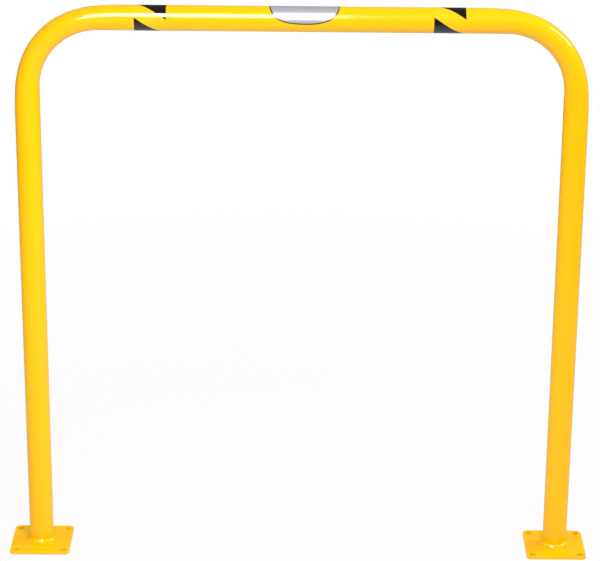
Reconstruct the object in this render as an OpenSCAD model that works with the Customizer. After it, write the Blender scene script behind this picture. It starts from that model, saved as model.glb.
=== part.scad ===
// Machine guard barrier: a bent tube hoop welded to two drilled foot plates.
// The frame is millimetres, +Z up, with the origin on the floor midway between the posts.
// X runs along the bar and Y runs from the front, where the hazard bands read best, to the back.

/* [Hoop] */
// Outside diameter of the tube
tube_od = 50.8; // [38:0.1:60]
// Wall of the tube
tube_wall = 3; // [1.5:0.1:5]
// Distance between the centre lines of the two posts
post_centres = 1108; // [1000:1:1500]
// Height of the bar's centre line above the floor
bar_height = 1164; // [600:1:1500]
// Radius of each bend, on the tube's centre line
bend_radius = 146.5; // [110:0.5:200]

/* [Foot plates] */
// Side of the square foot plate
plate_side = 127; // [110:0.5:180]
// Thickness of the foot plate
plate_thickness = 6.35; // [4:0.05:12]
// Radius of the foot plate's corners in plan
plate_corner_radius = 10; // [3:0.5:20]
// Chamfer along the upper edge of the foot plate
plate_chamfer = 0.8; // [0.3:0.1:2]
// Diameter of each anchor hole
hole_diameter = 14; // [8:0.1:16]
// Distance from the plate's edge to the centre of an anchor hole
hole_inset = 12.7; // [10:0.1:18]

/* [Welds] */
// Leg of the fillet weld, on the tube and on the plate
weld_leg = 6.6; // [4:0.1:9]
// Throat of the weld, from the corner to the middle of its face, as a share of the leg
weld_throat = 0.84; // [0.75:0.01:0.95]
// Number of ripples in the bead round one post
weld_ripples = 48; // [24:1:60]
// Depth of the valleys between two ripples
weld_ripple_depth = 0.55; // [0.2:0.05:1]

/* [Hazard bands] */
// Width of a hazard band along the bar
band_width = 63.5; // [40:0.5:90]
// Distance from the middle of the bar to the middle of the left band
left_band_offset = 302.5; // [100:0.5:310]
// Distance from the middle of the bar to the middle of the right band
right_band_offset = 293.5; // [100:0.5:310]
// Length of bar over which a slanted stripe goes once round it
stripe_lead = 237; // [200:1:300]
// Width of a yellow stripe, measured along the bar
yellow_stripe_width = 57; // [40:0.5:65]
// Number of black stripes round the bar
stripe_count = 2; // [1:1:3]
// Height angle of the yellow stripe on the front of the left band, at its middle
left_stripe_angle = 9.5; // [0:0.5:90]
// Height angle of the yellow stripe on the front of the right band, at its middle
right_stripe_angle = 22; // [0:0.5:90]
// Thickness of the vinyl film of the bands and of the label
film_thickness = 0.25; // [0.15:0.01:0.6]

/* [Oval label] */
// Length of the oval label along the bar
label_length = 140; // [80:1:180]
// Width of the oval label, measured round the bar
label_width = 90; // [50:1:110]
// Distance from the middle of the bar to the middle of the label
label_offset = 4.5; // [-60:0.5:60]
// Fullness of the oval: 2 is a true ellipse, and more is squarer
label_fullness = 2.6; // [2:0.1:4]
// Width of the dark line round the label
label_border = 2.2; // [0.8:0.1:4]

/* [Hidden] */
$fn = 96;

tube_r = tube_od / 2;
bore_r = tube_r - tube_wall;
post_x = post_centres / 2;
post_top = bar_height - bend_radius;
bar_half = post_x - bend_radius;

film_r = tube_r + film_thickness;
// Radii between which a cutter passes right through the film
cutter_inner_r = 0.8 * tube_r;
cutter_outer_r = 1.3 * tube_r;
// Slack by which a cutter runs past what it cuts
past = 1;
// Steps in which a stripe's cutter goes round the bar, and slices along the bar
stripe_steps = 4;
stripe_slices = 18;
// Steps across the face of the weld, and sections in each ripple
weld_face_steps = 6;
weld_ripple_steps = 3;
// Angle by which the face of the weld is drawn on past each leg, into the tube and the plate
weld_overrun = 15;
// How far the middle of a ripple runs ahead of its two edges, as a share of a ripple
weld_ripple_lead = 0.8;

// Degrees round the bar for a length measured on the tube's surface
function wrap_angle(length) = length / tube_r * 180 / PI;

coat_yellow = "#fdd017";
tape_yellow = "#fce000";
tape_black = "#1c1a1c";
label_silver = "#d5d8dd";
label_dark = "#2b2622";

// A solid round bar along the centre line of the hoop, which runs below the posts' ends by extra
module hoop_bar(r, extra = 0) {
    foot = plate_thickness - extra;
    for (side = [-1, 1])
        translate([side * post_x, 0, foot])
            cylinder(r = r, h = post_top - foot);
    for (side = [0, 1])
        mirror([side, 0, 0])
            translate([bar_half, 0, post_top])
                rotate([90, 0, 0])
                    rotate_extrude(angle = 90)
                        translate([bend_radius, 0])
                            circle(r = r);
    translate([-bar_half, 0, bar_height])
        rotate([0, 90, 0])
            cylinder(r = r, h = 2 * bar_half);
}

// The two posts, the two bends and the bar are one length of tube
module guard_tube() {
    color(coat_yellow)
        difference() {
            hoop_bar(tube_r);
            hoop_bar(bore_r, past);
        }
}

// Square outline with round corners, centred on the origin
module plate_outline() {
    corner_at = plate_side / 2 - plate_corner_radius;
    for (x = [-1, 1], y = [-1, 1])
        translate([x * corner_at, y * corner_at])
            circle(r = plate_corner_radius);
    square([plate_side, 2 * corner_at], center = true);
    square([2 * corner_at, plate_side], center = true);
}

// Section of the chamfer cut, with its X measured outwards from a distance in the plate
module chamfer_section(edge) {
    translate([edge, plate_thickness])
        polygon([
            [-plate_chamfer - past, past],
            [past, -plate_chamfer - past],
            [past, past]
        ]);
}

// Chamfer cut all the way round the plate's upper edge
module chamfer_cut() {
    straight = plate_side - 2 * plate_corner_radius;
    for (turn = [0:90:270])
        rotate([0, 0, turn]) {
            translate([0, straight / 2, 0])
                rotate([90, 0, 0])
                    linear_extrude(straight)
                        chamfer_section(plate_side / 2);
            translate([straight / 2, straight / 2, 0])
                rotate_extrude(angle = 90)
                    chamfer_section(plate_corner_radius);
        }
}

// One foot plate, with an anchor hole near each corner
module foot_plate(side) {
    hole_at = plate_side / 2 - hole_inset;
    color(coat_yellow)
        translate([side * post_x, 0, 0])
            difference() {
                linear_extrude(plate_thickness)
                    plate_outline();
                chamfer_cut();
                for (x = [-1, 1], y = [-1, 1])
                    translate([x * hole_at, y * hole_at, -past])
                        cylinder(d = hole_diameter, h = plate_thickness + 2 * past);
            }
}

// Angle of each point on the weld's face, from straight up the tube to straight out on the plate
weld_angles = [for (k = [0:weld_face_steps]) (90 + 2 * weld_overrun) * k / weld_face_steps - weld_overrun];

// One section through the weld, as points with X outwards from the tube's surface.
// It starts in the corner under the tube's wall and goes over the face from the tube to the plate.
function weld_section(leg) = concat(
    [[-leg / 2, -leg / 2]],
    [for (a = weld_angles) leg * (1 - (1 - weld_throat) * sin(2 * a)) * [sin(a), cos(a)]]
);

// Share of a ripple by which each point of the section runs ahead, so that the ripples are crescents
weld_ahead = concat(
    [0],
    [for (k = [0:weld_face_steps]) weld_ripple_lead * sin(180 * k / weld_face_steps)]
);

// The whole bead as one ring, before it is cut back to the tube and the plate
module weld_ring() {
    count = weld_ripples * weld_ripple_steps;
    size = len(weld_ahead);
    points = [
        for (i = [0:count - 1])
            let (
                swell = sin(180 * (i % weld_ripple_steps) / weld_ripple_steps),
                section = weld_section(weld_leg - weld_ripple_depth * (1 - swell))
            )
                for (k = [0:size - 1])
                    let (
                        turn = 360 / weld_ripples * ((i + 0.5) / weld_ripple_steps + weld_ahead[k]),
                        r = tube_r + section[k].x
                    )
                        [r * cos(turn), r * sin(turn), section[k].y]
    ];
    skin = [
        for (i = [0:count - 1], k = [0:size - 1])
            let (
                j = (i + 1) % count,
                m = (k + 1) % size,
                a = i * size + k,
                b = i * size + m,
                c = j * size + m,
                d = j * size + k
            )
                each [[a, c, b], [a, d, c]]
    ];
    polyhedron(points, skin);
}

// Fillet weld round the foot of a post, cut back to the tube and to the plate
module foot_weld(side) {
    color(coat_yellow)
        translate([side * post_x, 0, plate_thickness])
            difference() {
                intersection() {
                    weld_ring();
                    cylinder(r = tube_r + 2 * weld_leg, h = 2 * weld_leg);
                }
                translate([0, 0, -past])
                    cylinder(r = tube_r, h = 2 * weld_leg + 2 * past);
            }
}

// Moves a shape that is drawn along +Z from the origin onto the bar, starting at start_x
module on_bar(start_x) {
    translate([start_x, 0, bar_height])
        rotate([90, 0, 90])
            children();
}

// Film wrapped once round the bar, along length from the origin
module film_sleeve(length) {
    difference() {
        cylinder(r = film_r, h = length);
        translate([0, 0, -past])
            cylinder(r = tube_r, h = length + 2 * past);
    }
}

// Section through one black stripe's cutter, centred on angle middle
module stripe_section(middle) {
    half = 180 * (1 / stripe_count - yellow_stripe_width / stripe_lead);
    angles = [for (i = [0:stripe_steps]) middle + half * (2 * i / stripe_steps - 1)];
    polygon(concat(
        [for (a = angles) cutter_outer_r * [cos(a), sin(a)]],
        [for (i = [stripe_steps:-1:0]) cutter_inner_r * [cos(angles[i]), sin(angles[i])]]
    ));
}

// Helical cutters of all the black stripes of a band, whose yellow stripe is at height angle front
module stripe_cutters(front) {
    turn = 360 * band_width / stripe_lead;
    step = 360 / stripe_count;
    first = 180 - front - turn / 2 + step / 2;
    for (i = [0:stripe_count - 1])
        linear_extrude(band_width, twist = -turn, slices = stripe_slices, segments = 2 * stripe_steps + 2)
            stripe_section(first + i * step);
}

module hazard_band(middle_x, front) {
    color(tape_yellow)
        on_bar(middle_x - band_width / 2)
            difference() {
                film_sleeve(band_width);
                stripe_cutters(front);
            }
}

module hazard_stripes(middle_x, front) {
    color(tape_black)
        on_bar(middle_x - band_width / 2)
            intersection() {
                film_sleeve(band_width);
                stripe_cutters(front);
            }
}

// Cutter of an oval that is wrapped over the top of a bar along X, through the film
module wrapped_oval(half_length, half_width) {
    r1 = cutter_inner_r;
    r2 = cutter_outer_r;
    power = 2 / label_fullness;
    rows = 44;
    last = 88;
    turns = [for (i = [0:rows]) last * (2 * i / rows - 1)];
    angles = [for (t = turns) sign(t) * wrap_angle(half_width * pow(abs(sin(t)), power))];
    reach = [for (t = turns) half_length * pow(cos(t), power)];
    points = [
        for (i = [0:rows])
            let (x = reach[i], y = sin(angles[i]), z = cos(angles[i]))
                each [
                    [-x, r1 * y, r1 * z],
                    [x, r1 * y, r1 * z],
                    [x, r2 * y, r2 * z],
                    [-x, r2 * y, r2 * z]
                ]
    ];
    skin = [
        for (i = [0:rows - 1], k = [0:3])
            let (a = 4 * i + k, b = 4 * i + (k + 1) % 4)
                each [[a, b, b + 4], [a, b + 4, a + 4]]
    ];
    ends = [[3, 2, 1, 0], [for (k = [0:3]) 4 * rows + k]];
    polyhedron(points, concat(skin, ends));
}

// Moves a shape that is wrapped over the origin's X axis to the label's place on the bar
module at_label() {
    translate([label_offset, 0, bar_height])
        children();
}

module label_film() {
    translate([-label_length, 0, 0])
        rotate([90, 0, 90])
            film_sleeve(2 * label_length);
}

module label_field_cutter() {
    wrapped_oval(label_length / 2 - label_border, label_width / 2 - label_border);
}

module oval_label() {
    color(label_silver)
        at_label()
            intersection() {
                label_film();
                label_field_cutter();
            }
}

module oval_label_border() {
    color(label_dark)
        at_label()
            difference() {
                intersection() {
                    label_film();
                    wrapped_oval(label_length / 2, label_width / 2);
                }
                label_field_cutter();
            }
}

module left_foot_plate() {
    foot_plate(-1);
}

module right_foot_plate() {
    foot_plate(1);
}

module left_foot_weld() {
    foot_weld(-1);
}

module right_foot_weld() {
    foot_weld(1);
}

module left_hazard_band() {
    hazard_band(-left_band_offset, left_stripe_angle);
}

module right_hazard_band() {
    hazard_band(right_band_offset, right_stripe_angle);
}

module left_hazard_stripes() {
    hazard_stripes(-left_band_offset, left_stripe_angle);
}

module right_hazard_stripes() {
    hazard_stripes(right_band_offset, right_stripe_angle);
}

guard_tube();
left_foot_plate();
right_foot_plate();
left_foot_weld();
right_foot_weld();
left_hazard_band();
right_hazard_band();
left_hazard_stripes();
right_hazard_stripes();
oval_label();
oval_label_border();
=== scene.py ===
# %% [markdown]
# # A machine guard barrier
#
# This notebook dresses one steel guard for its picture: a hoop of bent tube that is welded to two drilled
# foot plates, with two bands of hazard film and one oval label on its bar. The solids come from the CAD
# part, and every piece made here keeps their place and size. All lengths are in metres, with +Z up, +X
# along the bar and +Y towards the back.

# %% The fixed frame
import math

import bmesh
import bpy
from mathutils import Matrix, Vector


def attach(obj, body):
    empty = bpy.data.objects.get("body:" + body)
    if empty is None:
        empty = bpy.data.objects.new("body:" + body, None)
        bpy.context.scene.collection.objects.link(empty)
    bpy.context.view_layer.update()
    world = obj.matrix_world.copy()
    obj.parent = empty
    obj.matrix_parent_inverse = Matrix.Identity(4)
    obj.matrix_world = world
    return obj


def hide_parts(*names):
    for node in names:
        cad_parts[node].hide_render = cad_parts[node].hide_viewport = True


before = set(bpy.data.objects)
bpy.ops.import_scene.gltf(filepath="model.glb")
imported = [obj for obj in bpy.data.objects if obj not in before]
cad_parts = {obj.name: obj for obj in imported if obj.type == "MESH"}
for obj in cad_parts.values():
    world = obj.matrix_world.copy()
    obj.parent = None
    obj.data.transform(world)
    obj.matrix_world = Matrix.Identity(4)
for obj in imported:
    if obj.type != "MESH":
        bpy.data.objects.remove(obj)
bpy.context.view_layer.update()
scene = bpy.context.scene
MM = 0.001

# %% [markdown]
# ## The camera
#
# The photograph was taken a little above the bar, from far enough back that the posts lean together only
# slightly. A camera is placed by where it stands and by three turns: down, sideways and about its own
# axis. The long lens belongs to the great distance. Together they set how much larger the near edge of a
# plate looks.

# %% Camera
CAMERA_PLACE = Vector((0.0153, -4.5394, 2.2989))
CAMERA_DOWN = math.radians(20.4273)
CAMERA_ASIDE = math.radians(0.1975)
CAMERA_ROLL = math.radians(0.4747)
LENS_MM = 140.05
SENSOR_MM = 36
SEES_AS_FAR_AS = 100


def camera_turn():
    """The camera's rotation: its own X to the right, its own Y up and its own Z back, seen in the room."""
    facing_back_of_room = Matrix.Rotation(math.pi / 2, 3, "X")
    down = Matrix.Rotation(-CAMERA_DOWN, 3, "X")
    roll = Matrix.Rotation(CAMERA_ROLL, 3, "Z")
    aside = Matrix.Rotation(CAMERA_ASIDE, 3, "Z")
    return aside @ facing_back_of_room @ down @ roll


def make_camera():
    lens = bpy.data.cameras.new("photo_camera")
    lens.lens = LENS_MM
    lens.sensor_width = SENSOR_MM
    lens.sensor_fit = "HORIZONTAL"
    lens.clip_end = SEES_AS_FAR_AS
    camera = bpy.data.objects.new("photo_camera", lens)
    camera.matrix_world = Matrix.Translation(CAMERA_PLACE) @ camera_turn().to_4x4()
    scene.collection.objects.link(camera)
    return camera


scene.camera = make_camera()
scene.view_settings.view_transform = "Standard"
print("camera axes", [[round(v, 4) for v in row] for row in camera_turn()])

# %% [markdown]
# ## Nodes written as formulas
#
# Blender's patterns and procedural shapes are both trees of small nodes. Wiring dozens of them one by one
# hides the idea, so a `Socket` stands for one output, and Python's own signs on it add the Math nodes.
# Every other node is made by one method, `add`, which takes the kind of node, its settings, and what its
# sockets hold or are fed by.

# %% Sockets and graphs
class Socket:
    """One output of a node. A sign between two of them, or with a number, adds a Math node."""

    def __init__(self, graph, out):
        self.graph = graph
        self.out = out

    def __add__(self, other):
        return self.graph.math("ADD", self, other)

    def __radd__(self, other):
        return self.graph.math("ADD", other, self)

    def __sub__(self, other):
        return self.graph.math("SUBTRACT", self, other)

    def __rsub__(self, other):
        return self.graph.math("SUBTRACT", other, self)

    def __mul__(self, other):
        return self.graph.math("MULTIPLY", self, other)

    def __rmul__(self, other):
        return self.graph.math("MULTIPLY", other, self)

    def __truediv__(self, other):
        return self.graph.math("DIVIDE", self, other)


def pick(sockets, which):
    """A socket by its number or by its identifier, which no other socket of the node shares."""
    if isinstance(which, int):
        return sockets[which]
    return next(s for s in sockets if s.identifier == which)


class Graph:
    """A tree of nodes that is being built."""

    def __init__(self, tree):
        self.tree = tree

    def add(self, kind, settings=None, sockets=None, out=0):
        """Adds a node, sets its settings, fills or links its sockets, and gives back one output."""
        node = self.tree.nodes.new(kind)
        for name, value in (settings or {}).items():
            setattr(node, name, value)
        for which, value in (sockets or {}).items():
            into = pick(node.inputs, which)
            if isinstance(value, Socket):
                self.tree.links.new(value.out, into)
            else:
                into.default_value = value
        if len(node.outputs) == 0:
            return None
        return Socket(self, pick(node.outputs, out))

    def math(self, operation, *values):
        return self.add("ShaderNodeMath", {"operation": operation}, dict(enumerate(values)))

    def vector(self, x, y, z):
        return self.add("ShaderNodeCombineXYZ", sockets={"X": x, "Y": y, "Z": z})

    def split(self, vector):
        """The three numbers of a vector."""
        node = self.add("ShaderNodeSeparateXYZ", sockets={"Vector": vector}).out.node
        return [Socket(self, out) for out in node.outputs]

    def mix_colours(self, factor, first, second):
        sockets = {"Factor_Float": factor, "A_Color": first, "B_Color": second}
        return self.add("ShaderNodeMix", {"data_type": "RGBA"}, sockets, out="Result_Color")


print("helpers ready: Socket, Graph")

# %% [markdown]
# ## Shapes grown by a rule
#
# A Geometry Nodes tree makes each piece that follows a path or a surface. Its sizes are named inputs, as
# on a drawing, so that one tree serves both feet or both bands. `grow` puts the tree on an empty object,
# hands it the sizes, and turns the result into a plain mesh, because the finished piece must not need the
# tree.

# %% Plans for shapes
class ShapeGraph(Graph):
    """A Geometry Nodes tree with a named input for each size."""

    def __init__(self, name, lengths, counts=()):
        super().__init__(bpy.data.node_groups.new(name, "GeometryNodeTree"))
        face = self.tree.interface
        face.new_socket("Mesh", in_out="OUTPUT", socket_type="NodeSocketGeometry")
        for size in lengths:
            face.new_socket(size, in_out="INPUT", socket_type="NodeSocketFloat")
        for size in counts:
            face.new_socket(size, in_out="INPUT", socket_type="NodeSocketInt")
        face.new_socket("Material", in_out="INPUT", socket_type="NodeSocketMaterial")
        self.given = self.add("NodeGroupInput").out.node

    def size(self, name):
        return Socket(self, self.given.outputs[name])

    def place(self, geometry, position):
        """Moves every point of a geometry to a position."""
        sockets = {"Geometry": geometry, "Position": position}
        return self.add("GeometryNodeSetPosition", sockets=sockets)

    def end(self, mesh):
        """Ends the tree with smooth shading, no instances, and the piece's material."""
        smooth = self.add("GeometryNodeSetShadeSmooth", sockets={"Geometry": mesh})
        real = self.add("GeometryNodeRealizeInstances", sockets={"Geometry": smooth})
        sockets = {"Geometry": real, "Material": self.size("Material")}
        painted = self.add("GeometryNodeSetMaterial", sockets=sockets)
        self.add("NodeGroupOutput", sockets={0: painted})


def make_plain(holder):
    """Swaps an object's mesh for what its modifiers make of it, and removes them."""
    bpy.context.view_layer.update()
    solved = holder.evaluated_get(bpy.context.evaluated_depsgraph_get())
    plain = bpy.data.meshes.new_from_object(solved)
    holder.modifiers.clear()
    holder.data = plain
    plain.name = holder.name


def signed_volume(mesh):
    """Volume inside a closed mesh. It is negative where the faces point inwards."""
    total = 0.0
    mesh.calc_loop_triangles()
    for triangle in mesh.loop_triangles:
        a, b, c = (mesh.vertices[i].co for i in triangle.vertices)
        total += a.dot(b.cross(c)) / 6
    return total


RIM_ANGLE = math.radians(50)


def grow(name, shape, sizes, material, wall=0.0):
    """Makes a piece with sharp rims from a tree and its sizes. A wall thickens it inwards."""
    holder = bpy.data.objects.new(name, bpy.data.meshes.new(name + "_empty"))
    scene.collection.objects.link(holder)
    modifier = holder.modifiers.new("shape", "NODES")
    modifier.node_group = shape.tree
    for item in shape.tree.interface.items_tree:
        if item.in_out == "INPUT":
            modifier[item.identifier] = material if item.name == "Material" else sizes[item.name]
    if wall:
        solid = holder.modifiers.new("wall", "SOLIDIFY")
        solid.thickness = wall
        solid.offset = -1
        solid.use_even_offset = True
    make_plain(holder)
    holder.data.set_sharp_from_angle(angle=RIM_ANGLE)
    report(holder)
    return holder


def report(piece):
    litres = signed_volume(piece.data) * 1000
    triangles = len(piece.data.loop_triangles)
    print(f"{piece.name}: {triangles} triangles, {litres:.5f} litres")


print("helpers ready: ShapeGraph, grow")

# %% [markdown]
# ## Finishes
#
# The real guard has only three finishes, and all are glossy. The steel is powder coated in safety yellow,
# which melts into a smooth skin with the faint dimples known as orange peel. The bands are vinyl film
# with printed colours, flatter and shinier than the coat. The label is a satin silver film.
#
# `Finish` starts a material with one Principled shader. What is the same everywhere is a number on the
# shader, and only what truly changes over the surface is fed by nodes.

# %% Finish helper
class Finish(Graph):
    """A material with one Principled shader. Its patterns read Object coordinates and stay on the piece."""

    def __init__(self, name, **numbers):
        self.material = bpy.data.materials.new(name)
        self.material.use_nodes = True
        super().__init__(self.material.node_tree)
        self.shader = next(n for n in self.tree.nodes if n.type == "BSDF_PRINCIPLED")
        for socket, value in numbers.items():
            self.shader.inputs[socket.replace("_", " ")].default_value = value
        self.spot = self.add("ShaderNodeTexCoord", out="Object")

    def feed(self, socket, value):
        self.tree.links.new(value.out, self.shader.inputs[socket])

    def noise(self, grain, detail=2.0):
        """Cloudy noise from 0 to 1, whose clouds are about grain metres across."""
        sockets = {"Vector": self.spot, "Scale": 1 / grain, "Detail": detail, "Roughness": 0.5}
        return self.add("ShaderNodeTexNoise", sockets=sockets)

    def bump(self, height, depth):
        """Bumps of a depth in metres where height goes from 0 to 1."""
        sockets = {"Height": height, "Distance": depth, "Strength": 1.0}
        return self.add("ShaderNodeBump", sockets=sockets)


def colour(red, green, blue):
    """A colour in linear light, with full cover."""
    return (red, green, blue, 1.0)


# %% [markdown]
# Powder coat is sprayed as dust and baked. It is a little thinner on one side than on the other, so its
# yellow wanders very slightly. The orange peel has dimples 2 to 3 mm across and only a few hundredths of
# a millimetre deep: they don't show at arm's length, but they soften every reflection.

# %% Powder coat
COAT_YELLOW = colour(0.98, 0.52, 0.001)
COAT_YELLOW_THIN = colour(0.97, 0.50, 0.001)
THIN_CLOUD = 180 * MM
THIN_SHARE = 0.8
GLOSSY = 0.1
DULLER_BY = 0.04
DULL_CLOUD = 30 * MM
PEEL_GRAIN = 2.6 * MM
BUMP_DEPTH = 0.02 * MM


def powder_coat():
    coat = Finish("yellow_powder_coat", IOR=1.45)
    thin = coat.noise(THIN_CLOUD, detail=3) * THIN_SHARE
    coat.feed("Base Color", coat.mix_colours(thin, COAT_YELLOW, COAT_YELLOW_THIN))
    coat.feed("Roughness", GLOSSY + coat.noise(DULL_CLOUD) * DULLER_BY)
    peel = coat.noise(PEEL_GRAIN, detail=1)
    coat.feed("Normal", coat.bump(peel, BUMP_DEPTH))
    return coat.material


coat_material = powder_coat()
print("finish", coat_material.name)

# %% [markdown]
# Vinyl film is rolled flat, so it has no orange peel. A very shallow, long ripple remains where it was
# smoothed on by hand. The black ink lies on the yellow film and is just as glossy.

# %% Films
FILM_YELLOW = colour(0.98, 0.54, 0.004)
FILM_BLACK = colour(0.003, 0.002, 0.002)
LABEL_SILVER = colour(0.64, 0.65, 0.71)
LABEL_DARK = colour(0.02, 0.014, 0.012)
SHADE_CLOUD = 20 * MM
SHADE_SHARE = 0.5
SHADE = 0.9
FILM_RIPPLE = 9 * MM


def film(name, tint, **numbers):
    skin = Finish(name, **numbers)
    shaded = skin.noise(SHADE_CLOUD) * SHADE_SHARE
    dimmer = colour(*(SHADE * part for part in tint[:3]))
    skin.feed("Base Color", skin.mix_colours(shaded, tint, dimmer))
    ripple = skin.noise(FILM_RIPPLE, detail=1)
    skin.feed("Normal", skin.bump(ripple, BUMP_DEPTH))
    return skin.material


yellow_film_material = film("yellow_vinyl_film", FILM_YELLOW, Roughness=0.1, IOR=1.5)
black_film_material = film("black_vinyl_film", FILM_BLACK, Roughness=0.08, IOR=1.85)
silver_film_material = film("silver_label_film", LABEL_SILVER, Roughness=0.34, Metallic=0.55, IOR=1.6)
dark_film_material = film("dark_label_print", LABEL_DARK, Roughness=0.3, IOR=1.6)
film_materials = [yellow_film_material, black_film_material, silver_film_material, dark_film_material]
print("finishes", [material.name for material in film_materials])

# %% [markdown]
# ## The hoop
#
# The real hoop is one length of round tube. It comes off a bender with two quarter turns, so its centre
# line is a line with two round corners. The tree draws that line through four points, rounds the two
# upper corners, cuts it into even steps and sweeps a circle along it. A wall is then added inwards, as
# the real tube is hollow. The steps are 8 mm long and the circle has 96 sides, which leaves the outline
# smooth at any distance.
#
# A tube that is bent cold doesn't stay round. Its outer wall is stretched and sinks in by a few
# millimetres, most of all halfway round the bend, so the tree pulls that side in at the end.

# %% Sizes of the hoop
TUBE_RADIUS = 25.4 * MM
TUBE_WALL = 3 * MM
POST_X = 554 * MM
BAR_HEIGHT = 1164 * MM
BEND_RADIUS = 146.5 * MM
BEND_POINTS = 64
EASED_FROM = -40 * MM
EASED_TO = 45 * MM
PLATE_THICKNESS = 6.35 * MM


def hoop_plan():
    """Four points, numbered 0 to 3. The last two are on the right, the middle two are at the bar."""
    lengths = ["Tube radius", "Post x", "Bar height", "Foot height", "Bend radius", "Step", "Flattening"]
    plan = ShapeGraph("bent_tube", lengths, ["Sides"])
    dots = plan.add("GeometryNodePoints", sockets={"Count": 4})
    number = plan.add("GeometryNodeInputIndex")
    right = plan.math("GREATER_THAN", number, 1.5)
    middle = plan.math("COMPARE", number, 1.5, 0.9)
    x = plan.size("Post x") * (2 * right - 1)
    z = plan.size("Foot height") + middle * (plan.size("Bar height") - plan.size("Foot height"))
    corners = plan.place(dots, plan.vector(x, 0.0, z))
    line = plan.add("GeometryNodePointsToCurves", sockets={"Points": corners})
    bent = plan.add(
        "GeometryNodeFilletCurve",
        {"mode": "POLY"},
        {"Curve": line, "Count": BEND_POINTS, "Radius": plan.size("Bend radius")},
    )
    stepped = plan.add(
        "GeometryNodeResampleCurve", {"mode": "LENGTH"}, {"Curve": bent, "Length": plan.size("Step")}
    )
    ring = plan.add(
        "GeometryNodeCurvePrimitiveCircle",
        sockets={"Resolution": plan.size("Sides"), "Radius": plan.size("Tube radius")},
    )
    swept = plan.add("GeometryNodeCurveToMesh", sockets={"Curve": stepped, "Profile Curve": ring})
    plan.end(flatten_bends(plan, swept))
    return plan


def flatten_bends(plan, tube):
    """Pulls the outer side of both bends in. It measures each point from its bend's centre."""
    x, y, z = plan.split(plan.add("GeometryNodeInputPosition"))
    bend_radius = plan.size("Bend radius")
    out = plan.math("ABSOLUTE", x) - (plan.size("Post x") - bend_radius)
    up = z - (plan.size("Bar height") - bend_radius)
    reach = plan.math("SQRT", out * out + up * up)

    def eased(part):
        """0 along the straight tube and 1 inside the bend, coming from one of its two ends."""
        sockets = {"Value": bend_radius * part / reach, "From Min": EASED_FROM, "From Max": EASED_TO}
        return plan.add("ShaderNodeMapRange", {"interpolation_type": "SMOOTHSTEP"}, sockets)

    only_out = plan.math("MAXIMUM", out, 0.0)
    only_up = plan.math("MAXIMUM", up, 0.0)
    from_axis = plan.math("SQRT", only_out * only_out + only_up * only_up)
    outer_share = plan.math("MAXIMUM", (from_axis - bend_radius) / plan.size("Tube radius"), 0.0)
    pull = plan.size("Flattening") * eased(up) * eased(out) * outer_share / from_axis
    new_x = x - plan.math("SIGN", x) * only_out * pull
    return plan.place(tube, plan.vector(new_x, y, z - only_up * pull))


HOOP_SIZES = {
    "Tube radius": TUBE_RADIUS,
    "Post x": POST_X,
    "Bar height": BAR_HEIGHT,
    "Foot height": PLATE_THICKNESS,
    "Bend radius": BEND_RADIUS,
    "Flattening": 4.4 * MM,
    "Step": 8 * MM,
    "Sides": 96,
}
hoop = grow("bent_tube_hoop", hoop_plan(), HOOP_SIZES, coat_material, wall=TUBE_WALL)

# %% [markdown]
# ## The foot plates
#
# Each foot is a flat square of steel with round corners and four anchor holes. Its sharp edges are broken
# before coating, and the coat rounds them further. A flat curve does this well: Blender fills the
# outline, leaves the circles inside it open, gives it thickness and rolls every edge, the rims of the
# holes too.

# %% Foot plates
PLATE_SIDE = 127 * MM
PLATE_CORNER = 10 * MM
PLATE_EDGE = 0.8 * MM
EDGE_STEPS = 3
PLATE_SHARP_ANGLE = math.radians(40)
CORNER_STEPS = 10
HOLE_RADIUS = 7 * MM
HOLE_FROM_EDGE = 12.7 * MM
HOLE_AT = PLATE_SIDE / 2 - HOLE_FROM_EDGE
HOLE_SIDES = 48
QUARTERS = [(1, 1), (-1, 1), (-1, -1), (1, -1)]
SEAM = 0.01 * MM


def arc(centre, radius, first, sweep, steps):
    """Points along an arc, by the angles where it starts and how far it turns, in degrees."""
    points = []
    for i in range(steps + 1):
        angle = math.radians(first + sweep * i / steps)
        points.append((centre[0] + radius * math.cos(angle), centre[1] + radius * math.sin(angle)))
    return points


def add_loop(curve, points):
    """Adds one closed outline to a flat curve."""
    line = curve.splines.new("POLY")
    line.points.add(len(points) - 1)
    for spot, (x, y) in zip(line.points, points):
        spot.co = (x, y, 0, 1)
    line.use_cyclic_u = True


def plate_outline():
    at = PLATE_SIDE / 2 - PLATE_CORNER
    points = []
    for turn, (x, y) in enumerate(QUARTERS):
        points += arc((x * at, y * at), PLATE_CORNER, 90 * turn, 90, CORNER_STEPS)
    return points


def hole_outline(x, y):
    """A whole circle. Its last point stops one step short of the first, as the outline is closed."""
    steps = HOLE_SIDES - 1
    return arc((x, y), HOLE_RADIUS, 0, 360 * steps / HOLE_SIDES, steps)


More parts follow.
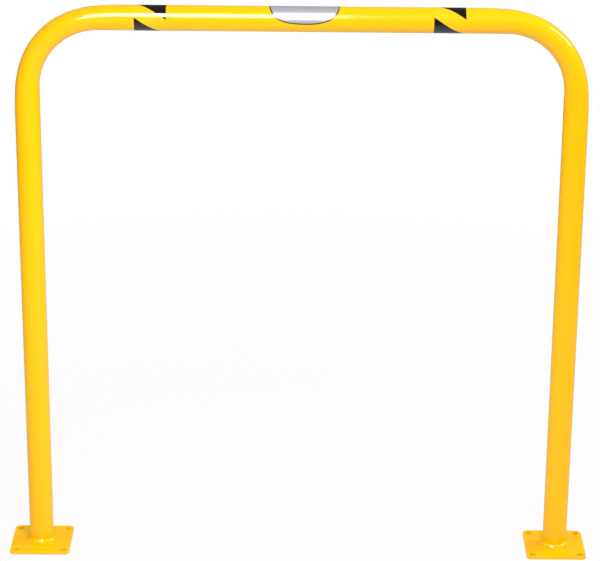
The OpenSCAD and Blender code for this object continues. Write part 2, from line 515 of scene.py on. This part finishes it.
def foot_plate(name, post_x):
    flat = bpy.data.curves.new(name + "_outline", "CURVE")
    flat.dimensions = "2D"
    flat.fill_mode = "BOTH"
    flat.bevel_depth = PLATE_EDGE
    flat.bevel_resolution = EDGE_STEPS
    flat.offset = -PLATE_EDGE
    flat.extrude = PLATE_THICKNESS / 2 - PLATE_EDGE
    add_loop(flat, plate_outline())
    for x, y in QUARTERS:
        add_loop(flat, hole_outline(x * HOLE_AT, y * HOLE_AT))
    holder = bpy.data.objects.new(name + "_curve", flat)
    scene.collection.objects.link(holder)
    bpy.context.view_layer.update()
    solved = holder.evaluated_get(bpy.context.evaluated_depsgraph_get())
    mesh = bpy.data.meshes.new_from_object(solved)
    bpy.data.objects.remove(holder)
    mesh.transform(Matrix.Translation((post_x, 0, PLATE_THICKNESS / 2)))
    weld_loose_points(mesh)
    mesh.materials.clear()
    mesh.materials.append(coat_material)
    mesh.shade_smooth()
    mesh.set_sharp_from_angle(angle=PLATE_SHARP_ANGLE)
    plate = bpy.data.objects.new(name, mesh)
    scene.collection.objects.link(plate)
    report(plate)
    return plate


def weld_loose_points(mesh):
    """Merges points that lie on each other and turns every face outwards."""
    work = bmesh.new()
    work.from_mesh(mesh)
    bmesh.ops.remove_doubles(work, verts=work.verts, dist=SEAM)
    bmesh.ops.recalc_face_normals(work, faces=work.faces)
    work.to_mesh(mesh)
    work.free()


left_plate = foot_plate("left_drilled_plate", -POST_X)
right_plate = foot_plate("right_drilled_plate", POST_X)

# %% [markdown]
# ## The welds
#
# A fillet weld is laid as a row of puddles, each of which freezes into a ripple over the one before. The
# ripples are crescents, because the middle of a puddle runs ahead of its edges, and the coat fills their
# valleys a little. No hand lays an even bead: its size wanders, and the metal heaps up where the welder
# stopped and started again. Each bead here has two such heaps, a long one at the front and a short one
# on the right. A power of a cosine makes them, and the power says how sharp a heap is.
#
# The bead is drawn as a flat sheet of points, where one side is the way round the post and the other side
# is the way round its section. Most rows go over the face, from the tube down to the plate. The last two
# go back through the corner under the bead and close it. The formula then rolls the sheet up into a ring.

# %% Weld beads
HEAPS = ["First heap", "Second heap"]
WANDER_LEAST = 0.91
WANDER_SHARE = 0.18
WANDER_SCALE = 3.0
WANDER_SEED = 7.0
BEAD_SEAM = 0.001 * MM


def weld_sheet(plan):
    """The flat sheet, and where its points lie: the way round, the way over, and 0 for the corner."""
    around = plan.size("Ripples") * plan.size("Steps") + 1
    face_steps = plan.size("Face steps")
    sheet = plan.add(
        "GeometryNodeMeshGrid",
        sockets={"Size X": 1.0, "Size Y": 1.0, "Vertices X": around, "Vertices Y": face_steps + 3},
    )
    flat_x, flat_y, _ = plan.split(plan.add("GeometryNodeInputPosition"))
    way_round = 0.5 - flat_x
    row = (flat_y + 0.5) * (face_steps + 2)
    not_last = plan.math("LESS_THAN", row, face_steps + 1.5)
    not_corner = 1 - plan.math("COMPARE", row, face_steps + 1, 0.5)
    over = plan.math("MINIMUM", row / face_steps, 1.0) * not_last
    return sheet, way_round, over, not_corner


def uneven_leg(plan, turn, over, swell):
    """How far the bead reaches: it wanders round the post and sinks between two ripples."""
    wander = plan.add(
        "ShaderNodeTexNoise",
        {"noise_dimensions": "4D"},
        {
            "Vector": plan.vector(plan.math("COSINE", turn), plan.math("SINE", turn), over * 0.5),
            "W": plan.size("Post x") * WANDER_SEED,
            "Scale": WANDER_SCALE,
            "Detail": 1.0,
        },
    )
    wandering = plan.size("Leg") * (WANDER_LEAST + wander * WANDER_SHARE)
    return wandering - plan.size("Ripple depth") * (1 - swell)


def add_heaps(plan, turn, leg):
    """How wide and how tall the bead is with its heaps on it."""
    wide = leg
    tall = leg
    for heap in HEAPS:
        towards = plan.math("MAXIMUM", plan.math("COSINE", turn - plan.size(heap + " angle")), 0.0)
        swelling = plan.math("POWER", towards, plan.size(heap + " sharpness"))
        wide += swelling * plan.size(heap + " spread")
        tall += swelling * plan.size(heap + " height")
    return wide, tall


def weld_plan():
    lengths = ["Post x", "Tube radius", "Plate top", "Leg", "Throat", "Ripple depth", "Lead"]
    for heap in HEAPS:
        lengths += [heap + " height", heap + " spread", heap + " angle", heap + " sharpness"]
    plan = ShapeGraph("rippled_fillet_weld", lengths, ["Ripples", "Steps", "Face steps"])
    sheet, way_round, over, not_corner = weld_sheet(plan)
    ripples = plan.size("Ripples")
    on_face = plan.math("SINE", plan.math("MULTIPLY", over, math.pi))
    swell = plan.math("ABSOLUTE", plan.math("SINE", way_round * ripples * math.pi))
    turn = (way_round + on_face * plan.size("Lead") / ripples) * (2 * math.pi)
    wide, tall = add_heaps(plan, turn, uneven_leg(plan, turn, over, swell))
    bulge = (1 - (1 - plan.size("Throat")) * on_face) * not_corner
    tilt = over * (math.pi / 2)
    out = wide * bulge * plan.math("SINE", tilt)
    up = tall * bulge * plan.math("COSINE", tilt)
    radius = plan.size("Tube radius") + out
    position = plan.vector(
        plan.size("Post x") + radius * plan.math("COSINE", turn),
        radius * plan.math("SINE", turn),
        plan.size("Plate top") + up,
    )
    bead = plan.place(sheet, position)
    closed = plan.add("GeometryNodeMergeByDistance", sockets={"Geometry": bead, "Distance": BEAD_SEAM})
    plan.end(closed)
    return plan


WELD_SIZES = {
    "Tube radius": TUBE_RADIUS,
    "Plate top": PLATE_THICKNESS,
    "Leg": 6.6 * MM,
    "Throat": 0.81,
    "Ripple depth": 0.22 * MM,
    "Lead": 0.8,
    "Ripples": 48,
    "Steps": 8,
    "Face steps": 12,
}
weld_shape = weld_plan()


def heap_sizes(which, height, spread, degrees, sharpness):
    """One heap's sizes. Its place is an angle round the post, where -90 degrees is the front."""
    return {
        which + " height": height,
        which + " spread": spread,
        which + " angle": math.radians(degrees),
        which + " sharpness": sharpness,
    }


LEFT_HEAPS = {
    **heap_sizes("First heap", height=4.7 * MM, spread=0.55 * MM, degrees=-93, sharpness=2.0),
    **heap_sizes("Second heap", height=0.8 * MM, spread=0.4 * MM, degrees=-30, sharpness=20.0),
}
RIGHT_HEAPS = {
    **heap_sizes("First heap", height=3.8 * MM, spread=0.4 * MM, degrees=-110, sharpness=2.0),
    **heap_sizes("Second heap", height=4.6 * MM, spread=2.0 * MM, degrees=-27, sharpness=14.0),
}


def weld_bead(name, post_x, heaps):
    return grow(name, weld_shape, {**WELD_SIZES, **heaps, "Post x": post_x}, coat_material)


left_bead = weld_bead("left_weld_bead", -POST_X, LEFT_HEAPS)
right_bead = weld_bead("right_weld_bead", POST_X, RIGHT_HEAPS)

# %% [markdown]
# ## Film wrapped round the bar
#
# Hazard film is printed flat and wrapped round the tube afterwards, and the tree works in the same order.
# It lays out slanted stripes on a flat sheet, repeats them, and only then bends the sheet round the bar.
# A slant that is straight on the sheet becomes the long S that shows on the round bar.

# %% Wrapping
FILM_THICKNESS = 0.25 * MM
FILM_RADIUS = TUBE_RADIUS + FILM_THICKNESS


def wrap(plan, mesh):
    """Bends a sheet round the bar. Its X runs along the bar and its Y is an angle up from the front."""
    along, angle, _ = plan.split(plan.add("GeometryNodeInputPosition"))
    radius = plan.size("Film radius")
    position = plan.vector(
        plan.size("Middle x") + along,
        0 - radius * plan.math("COSINE", angle),
        plan.size("Bar height") + radius * plan.math("SINE", angle),
    )
    return plan.place(mesh, position)


def stripes_plan():
    """One slanted stripe on the flat sheet, repeated at even angles and wrapped round the bar."""
    lengths = ["Film radius", "Bar height", "Middle x", "Width", "First angle", "Stripe angle", "Slant"]
    plan = ShapeGraph("slanted_stripes", lengths, ["Stripes", "Steps"])
    sheet = plan.add(
        "GeometryNodeMeshGrid",
        sockets={
            "Size X": plan.size("Width"),
            "Size Y": plan.size("Stripe angle"),
            "Vertices X": plan.size("Steps"),
            "Vertices Y": plan.size("Steps"),
        },
    )
    x, y, _ = plan.split(plan.add("GeometryNodeInputPosition"))
    slanted = plan.place(sheet, plan.vector(x, y - x * plan.size("Slant"), 0.0))
    rows = plan.add("GeometryNodePoints", sockets={"Count": plan.size("Stripes")})
    number = plan.add("GeometryNodeInputIndex")
    row_angle = plan.size("First angle") + number * (2 * math.pi) / plan.size("Stripes")
    placed = plan.place(rows, plan.vector(0.0, row_angle, 0.0))
    repeated = plan.add("GeometryNodeInstanceOnPoints", sockets={"Points": placed, "Instance": slanted})
    printed = plan.add("GeometryNodeRealizeInstances", sockets={"Geometry": repeated})
    plan.end(wrap(plan, printed))
    return plan


STRIPES = 2
STRIPE_LEAD = 237 * MM
YELLOW_WIDTH = 57 * MM
BAND_WIDTH = 63.5 * MM
BAND_STEPS = 34
LEFT_BAND_X = -302.5 * MM
LEFT_BAND_DEGREES = 9.5
RIGHT_BAND_X = 293.5 * MM
RIGHT_BAND_DEGREES = 22
YELLOW_ANGLE = 2 * math.pi * YELLOW_WIDTH / STRIPE_LEAD
BLACK_ANGLE = 2 * math.pi / STRIPES - YELLOW_ANGLE
stripes_shape = stripes_plan()


def band_part(name, middle_x, first_angle, stripe_angle, material):
    sizes = {
        "Film radius": FILM_RADIUS,
        "Bar height": BAR_HEIGHT,
        "Middle x": middle_x,
        "Width": BAND_WIDTH,
        "First angle": first_angle,
        "Stripe angle": stripe_angle,
        "Slant": 2 * math.pi / STRIPE_LEAD,
        "Stripes": STRIPES,
        "Steps": BAND_STEPS,
    }
    return grow(name, stripes_shape, sizes, material, wall=FILM_THICKNESS)


def hazard_band(side, middle_x, yellow_degrees):
    """The yellow and the black of one band, as two pieces that meet edge to edge."""
    first_yellow = math.radians(yellow_degrees)
    first_black = first_yellow + math.pi / STRIPES
    yellow = band_part(side + "_yellow_stripes", middle_x, first_yellow, YELLOW_ANGLE, yellow_film_material)
    black = band_part(side + "_black_stripes", middle_x, first_black, BLACK_ANGLE, black_film_material)
    return yellow, black


left_yellow, left_black = hazard_band("left", LEFT_BAND_X, LEFT_BAND_DEGREES)
right_yellow, right_black = hazard_band("right", RIGHT_BAND_X, RIGHT_BAND_DEGREES)

# %% [markdown]
# The label is an oval, a little squarer than an ellipse, and it lies over the top of the bar like a
# saddle. It is laid out as rings from an inner oval to an outer one. The silver field starts from an oval
# of no size, and the dark line round it starts from the field's own edge, so that the two share one seam.

# %% Oval label
def oval_plan():
    """A sheet of rings, each a little larger than the one inside it, laid over the top of the bar."""
    lengths = ["Film radius", "Bar height", "Middle x", "Inner length", "Inner width"]
    lengths += ["Outer length", "Outer width", "Roundness"]
    plan = ShapeGraph("oval_film", lengths, ["Rings", "Steps"])
    sheet = plan.add(
        "GeometryNodeMeshGrid",
        sockets={
            "Size X": 1.0,
            "Size Y": 1.0,
            "Vertices X": plan.size("Rings"),
            "Vertices Y": plan.size("Steps"),
        },
    )
    flat_x, flat_y, _ = plan.split(plan.add("GeometryNodeInputPosition"))
    outwards = flat_x + 0.5
    turn = flat_y * (2 * math.pi)

    def squared(wave):
        size = plan.math("POWER", plan.math("ABSOLUTE", wave), plan.size("Roundness"))
        return plan.math("SIGN", wave) * size

    def between(inner, outer):
        return plan.size(inner) + outwards * (plan.size(outer) - plan.size(inner))

    along = between("Inner length", "Outer length") / 2 * squared(plan.math("COSINE", turn))
    across = between("Inner width", "Outer width") / 2 * squared(plan.math("SINE", turn))
    angle = math.pi / 2 + across / TUBE_RADIUS
    oval = plan.place(sheet, plan.vector(along, angle, 0.0))
    bent = wrap(plan, oval)
    closed = plan.add("GeometryNodeMergeByDistance", sockets={"Geometry": bent, "Distance": SEAM})
    plan.end(closed)
    return plan


LABEL_X = 4.5 * MM
LABEL_LENGTH = 140 * MM
LABEL_WIDTH = 90 * MM
LABEL_LINE = 2.2 * MM
LABEL_FULLNESS = 2.6
LABEL_STEPS = 161
FIELD_RINGS = 24
LINE_RINGS = 4
oval_shape = oval_plan()


def label_part(name, inner, outer, material, rings):
    sizes = {
        "Film radius": FILM_RADIUS,
        "Bar height": BAR_HEIGHT,
        "Middle x": LABEL_X,
        "Inner length": inner[0],
        "Inner width": inner[1],
        "Outer length": outer[0],
        "Outer width": outer[1],
        "Roundness": 2 / LABEL_FULLNESS,
        "Rings": rings,
        "Steps": LABEL_STEPS,
    }
    return grow(name, oval_shape, sizes, material, wall=FILM_THICKNESS)


label_outside = (LABEL_LENGTH, LABEL_WIDTH)
label_inside = (LABEL_LENGTH - 2 * LABEL_LINE, LABEL_WIDTH - 2 * LABEL_LINE)
no_size = (0.0, 0.0)
label_field = label_part("label_silver_field", no_size, label_inside, silver_film_material, FIELD_RINGS)
label_line = label_part("label_dark_line", label_inside, label_outside, dark_film_material, LINE_RINGS)

# %% [markdown]
# ## Joining the pieces to the CAD part
#
# Nothing on this guard moves, so every piece rides on the one body, `root`. Each piece stands for the CAD
# node that it was drawn from, and that node is hidden. The slot listed beside it is not used here.

# %% Pieces and the nodes that they stand for
STANDS_FOR = [
    (hoop, "guard_tube", "yellow_coat"),
    (left_plate, "left_foot_plate", "yellow_coat"),
    (right_plate, "right_foot_plate", "yellow_coat"),
    (left_bead, "left_foot_weld", "yellow_coat"),
    (right_bead, "right_foot_weld", "yellow_coat"),
    (left_yellow, "left_hazard_band", "yellow_film"),
    (right_yellow, "right_hazard_band", "yellow_film"),
    (left_black, "left_hazard_stripes", "black_film"),
    (right_black, "right_hazard_stripes", "black_film"),
    (label_field, "oval_label", "silver_film"),
    (label_line, "oval_label_border", "dark_film"),
]
for piece, node, slot in STANDS_FOR:
    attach(piece, "root")
    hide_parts(node)
print(len(STANDS_FOR), "pieces stand for", len(STANDS_FOR), "nodes")

# %% [markdown]
# ## Floor and light
#
# The guard stands on a plain pale floor. The camera, and anything glossy or clear, sees it as white,
# while the floor keeps a trace of its own shading so that the guard's shadow stays on it. In the coat's
# reflections the white fades with distance, as a lit backdrop does in a dark studio. Under each plate the
# floor's colour is painted shade: darker and warm, standing in for the shadow there and for the light that
# bounces in off the coated holes.

# %% Floor
FLOOR_HALF = 9
FLOOR_GREY = colour(0.62, 0.62, 0.62)
# Painted shade and painted warm bounce light: the floor's colour under each plate, seen through its holes.
PAINTED_SHADE_UNDER_PLATE = colour(0.64, 0.55, 0.15)
WHITE = colour(1, 1, 1)
PLATE_OVERLAP = 3 * MM
WHITE_NEAR = 0.92
WHITE_FADE = (0.9, 2.5)
MIRROR_DIM_NEAR = 0.38
MIRROR_DIM_FAR = 0.9
MIRROR_FADE = (0.4, 3.0)


def fade(graph, distance, near, far, reach):
    """One value near the middle of the floor, another far from it, and an even change in between."""
    first, last = reach
    sockets = {"Value": distance, "From Min": first, "From Max": last}
    return near + (far - near) * graph.add("ShaderNodeMapRange", sockets=sockets)


def floor_material():
    look = bpy.data.materials.new("pale_floor")
    look.use_nodes = True
    graph = Graph(look.node_tree)
    look.node_tree.nodes.clear()
    place = graph.add("ShaderNodeTexCoord", out="Object")
    distance = graph.add("ShaderNodeVectorMath", {"operation": "LENGTH"}, {0: place}, out="Value")
    x, y, _ = graph.split(place)
    from_post = graph.math("ABSOLUTE", graph.math("ABSOLUTE", x) - POST_X)
    from_plate = graph.math("MAXIMUM", from_post, graph.math("ABSOLUTE", y))
    uncovered = graph.math("GREATER_THAN", from_plate, PLATE_SIDE / 2 - PLATE_OVERLAP)
    # The floor's own grey outside the plates, and the painted shade colour under them.
    floor_grey_and_painted_shade = graph.mix_colours(uncovered, PAINTED_SHADE_UNDER_PLATE, FLOOR_GREY)
    paint = graph.add("ShaderNodeBsdfDiffuse", sockets={"Color": floor_grey_and_painted_shade})
    path = "ShaderNodeLightPath"
    direct = graph.add(path, out="Is Camera Ray") + graph.add(path, out="Is Transmission Ray")
    mirrored = graph.add(path, out="Is Glossy Ray")
    whiteness = fade(graph, distance, WHITE_NEAR, 1.0, WHITE_FADE)
    dimming = fade(graph, distance, MIRROR_DIM_NEAR, MIRROR_DIM_FAR, MIRROR_FADE)
    share = graph.math("MINIMUM", direct + mirrored, 1.0) * uncovered * whiteness
    white = graph.add("ShaderNodeEmission", sockets={"Color": WHITE, "Strength": 1 - mirrored * dimming})
    both = graph.add("ShaderNodeMixShader", sockets={"Fac": share, "Shader": paint, "Shader_001": white})
    graph.add("ShaderNodeOutputMaterial", sockets={"Surface": both})
    return look


def make_floor():
    mesh = bpy.data.meshes.new("floor")
    corners = [(x * FLOOR_HALF, y * FLOOR_HALF, 0) for x, y in QUARTERS]
    mesh.from_pydata(corners, [], [(0, 1, 2, 3)])
    mesh.materials.append(floor_material())
    floor = bpy.data.objects.new("floor", mesh)
    scene.collection.objects.link(floor)


make_floor()
print("floor", 2 * FLOOR_HALF, "m square")

# %% [markdown]
# Each lamp has one job, so that it can be moved without spoiling another's. The ceiling softbox lights
# the shapes and isn't mirrored. The streak softbox does the opposite: it is only mirrored, as the long
# white line on the left half of the bar and as the white spots on the welds. A narrow one to the right of
# the guard lights the posts from that side and draws the short pale streak on the right bend. A small
# card fills the left post. The room adds an even light, and it is dim to glossy rays, which keeps the
# yellow deep.

# %% Lights
def softbox(name, place, aim, size, watts, shades=True, shines=True):
    """A rectangular lamp, which may be left out of the shading or out of the reflections."""
    light = bpy.data.lights.new(name, "AREA")
    light.shape = "RECTANGLE"
    light.size, light.size_y = size
    light.energy = watts
    box = bpy.data.objects.new(name, light)
    box.visible_diffuse = shades
    box.visible_glossy = shines
    box.location = place
    box.rotation_euler = (Vector(aim) - Vector(place)).to_track_quat("-Z", "Y").to_euler()
    scene.collection.objects.link(box)


softbox(
    "ceiling_softbox",
    place=(0.6, -2.2, 3.2),
    aim=(0, 0, 0.9),
    size=(1.2, 1.2),
    watts=65,
    shines=False,
)
softbox(
    "right_softbox",
    place=(2.47, 0.54, 2.47),
    aim=(0.5, 0, 1.1),
    size=(0.3, 1.0),
    watts=28,
)
softbox(
    "left_card",
    place=(-0.5, -1.1, 0.8),
    aim=(-0.55, 0, 0.8),
    size=(0.5, 0.5),
    watts=4.1,
    shines=False,
)
softbox(
    "streak_softbox",
    place=(-0.5, -1.75, 2.48),
    aim=(-0.5, 0, 1.16),
    size=(1.16, 1.2),
    watts=88,
    shades=False,
)

ROOM_GREY = colour(0.745, 0.745, 0.745)
ROOM_MIRRORED = colour(0.15, 0.15, 0.15)


def room_light():
    world = bpy.data.worlds.new("room")
    scene.world = world
    world.use_nodes = True
    graph = Graph(world.node_tree)
    world.node_tree.nodes.clear()
    seen = graph.add("ShaderNodeLightPath", out="Is Camera Ray")
    shiny = graph.add("ShaderNodeLightPath", out="Is Glossy Ray")
    plain = graph.mix_colours(shiny, ROOM_GREY, ROOM_MIRRORED)
    tint = graph.mix_colours(seen, plain, WHITE)
    sky = graph.add("ShaderNodeBackground", sockets={"Color": tint, "Strength": 1.0})
    graph.add("ShaderNodeOutputWorld", sockets={"Surface": sky})


room_light()
